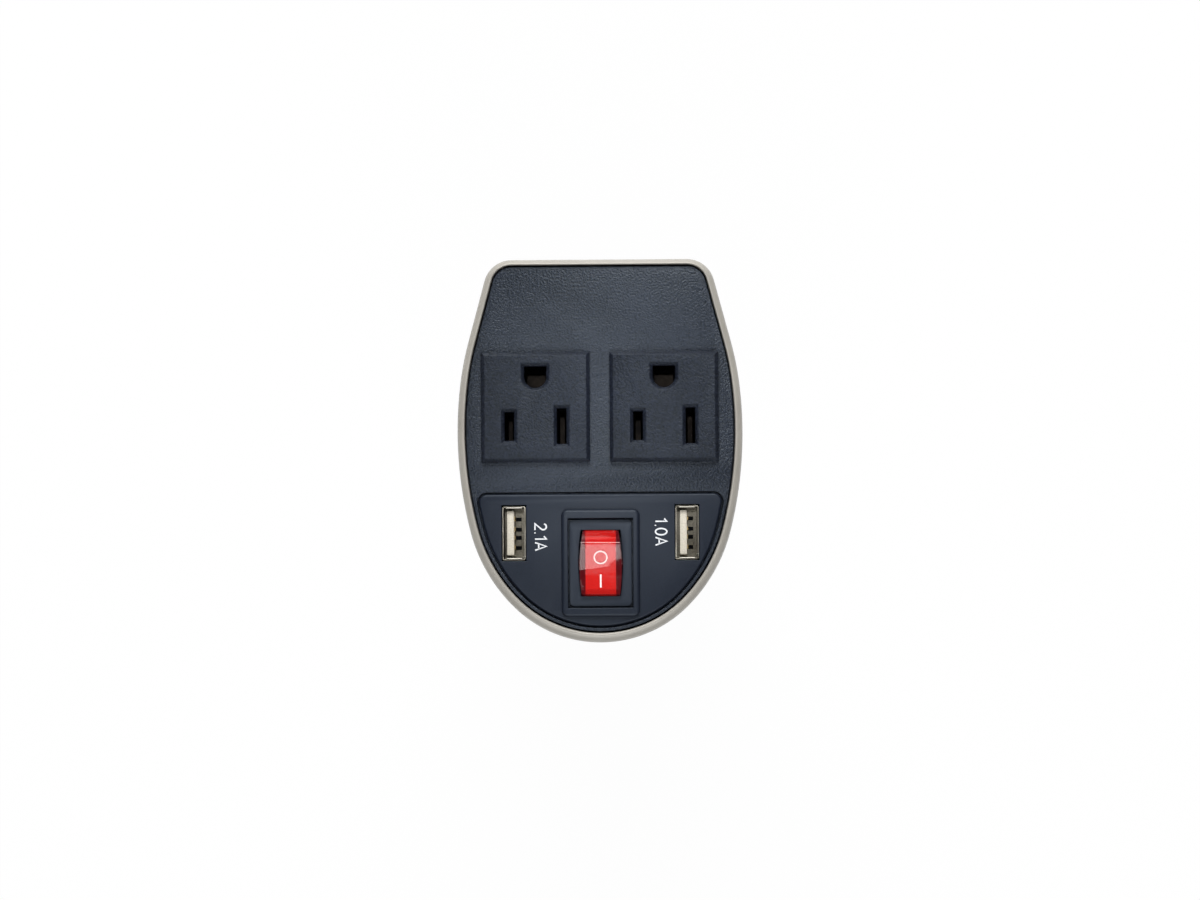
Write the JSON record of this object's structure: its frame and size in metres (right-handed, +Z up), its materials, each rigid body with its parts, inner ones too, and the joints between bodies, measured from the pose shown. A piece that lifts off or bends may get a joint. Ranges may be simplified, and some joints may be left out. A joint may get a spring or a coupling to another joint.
{
  "type": "car power inverter",
  "caption": "Cup-holder car power inverter: D-shaped face with three-pin outlets, charging ports and a rocker switch on a vented round barrel with a fan.",
  "frame": {"origin": "on the resting plane, under the centre of the face outline", "axes": "+Z up out of the face, +Y towards the flat rear, +X to the right seen from above"},
  "size_m": [0.0694, 0.0932, 0.1593],
  "materials": {
    "housing_plastic": "fine texture",
    "textured_panel": "fine spark texture",
    "smooth_panel": "satin",
    "ring_paint": "satin champagne grey",
    "rubber": "matte",
    "switch_plastic": "satin",
    "red_clear": "clear red",
    "red_core": "opaque red",
    "lamp_glass": "clear",
    "cream_plastic": "matte",
    "nickel_shell": "plated",
    "brass": "plain",
    "steel": "zinc plated",
    "board": "solder mask",
    "aluminium": "extruded",
    "ferrite": "matte",
    "winding": "taped",
    "epoxy": "matte",
    "sleeve_blue": "shrink sleeve"
  },
  "bodies": {
    "root": {"rubber_feet": "rubber", "base_cap": "housing_plastic", "base_screws": "steel", "fan_frame": "switch_plastic", "fan_screws": "steel", "barrel_housing": "housing_plastic", "grip_sleeve": "rubber", "cord_gland": "rubber", "main_board": "board", "heat_sink": "aluminium", "power_transistors": "epoxy", "transformer_core": "ferrite", "transformer_winding": "winding", "capacitors": "sleeve_blue", "output_choke": "ferrite", "input_fuse": "epoxy", "alarm_buzzer": "epoxy", "head_housing": "housing_plastic", "head_screws": "steel", "panel_screws": "steel", "trim_ring": "ring_paint", "top_panel": "textured_panel", "outlet_left": "textured_panel", "outlet_right": "textured_panel", "outlet_covers": "housing_plastic", "hot_contacts": "brass", "neutral_contacts": "brass", "ground_contacts": "brass", "control_panel": "smooth_panel", "switch_bezel": "smooth_panel", "switch_housing": "switch_plastic", "switch_terminals": "brass", "usb_board": "board", "usb_board_screws": "steel", "usb_shell_left": "nickel_shell", "usb_shell_right": "nickel_shell", "usb_tongue_left": "cream_plastic", "usb_tongue_right": "cream_plastic", "usb_contacts_left": "brass", "usb_contacts_right": "brass"},
    "rocker_body": {"rocker": "red_clear", "rocker_core": "red_core", "indicator_lamp": "lamp_glass", "switch_plunger": "brass", "plunger_spring": "steel"},
    "tilting_contact_body": {"tilting_contact": "brass"},
    "fan_rotor_body": {"fan_rotor": "switch_plastic"}
  },
  "joints": [
    {"name": "rocker_tilt", "type": "hinge", "parent": "root", "child": "rocker_body", "pos_m": [0, -0.0273, 0.151], "axis": [1, 0, 0], "range_deg": [-20, 0]},
    {"name": "contact_tilt", "type": "hinge", "parent": "root", "child": "tilting_contact_body", "pos_m": [0, -0.0273, 0.1434], "axis": [1, 0, 0], "range_deg": [0, 14]},
    {"name": "fan_spin", "type": "hinge", "parent": "root", "child": "fan_rotor_body", "pos_m": [0, -0.008, 0.009], "axis": [0, 0, 1], "continuous": true}
  ],
  "couplings": [
    {"joint": "contact_tilt", "follows": "rocker_tilt", "ratio": -0.7}
  ]
}
